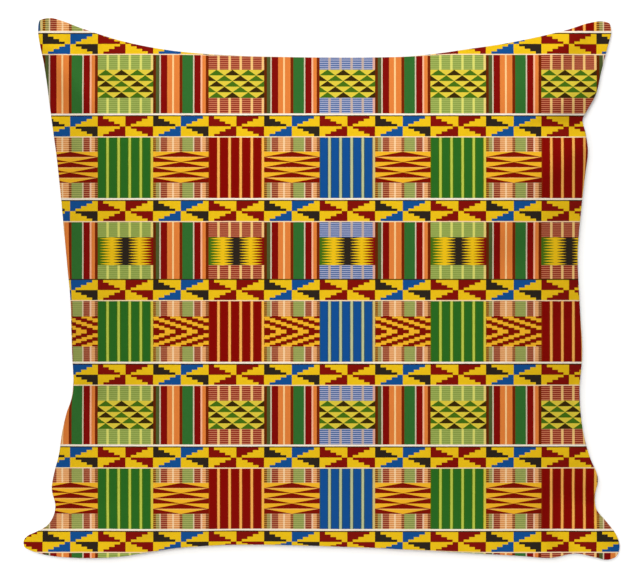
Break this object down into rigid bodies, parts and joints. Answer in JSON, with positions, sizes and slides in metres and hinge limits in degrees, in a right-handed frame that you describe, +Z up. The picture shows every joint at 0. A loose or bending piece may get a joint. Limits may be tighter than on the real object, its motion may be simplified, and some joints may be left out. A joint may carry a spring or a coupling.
{
  "type": "throw cushion in wax print fabric",
  "caption": "Square throw cushion in a strip-patterned printed cotton cover, knife-edged with corner ears, lying on its back to soften a seat or bed.",
  "frame": {"origin": "on the surface the cushion lies on, under the middle of its outline", "axes": "+X to the right across the printed front, +Y towards the front's top seam, +Z up out of the front face"},
  "size_m": [0.4454, 0.406, 0.1273],
  "materials": {
    "printed_cotton": "plain-weave cotton print in yellow, red, green, blue and black, matt"
  },
  "bodies": {
    "root": {"cushion": "printed_cotton"}
  },
  "joints": []
}
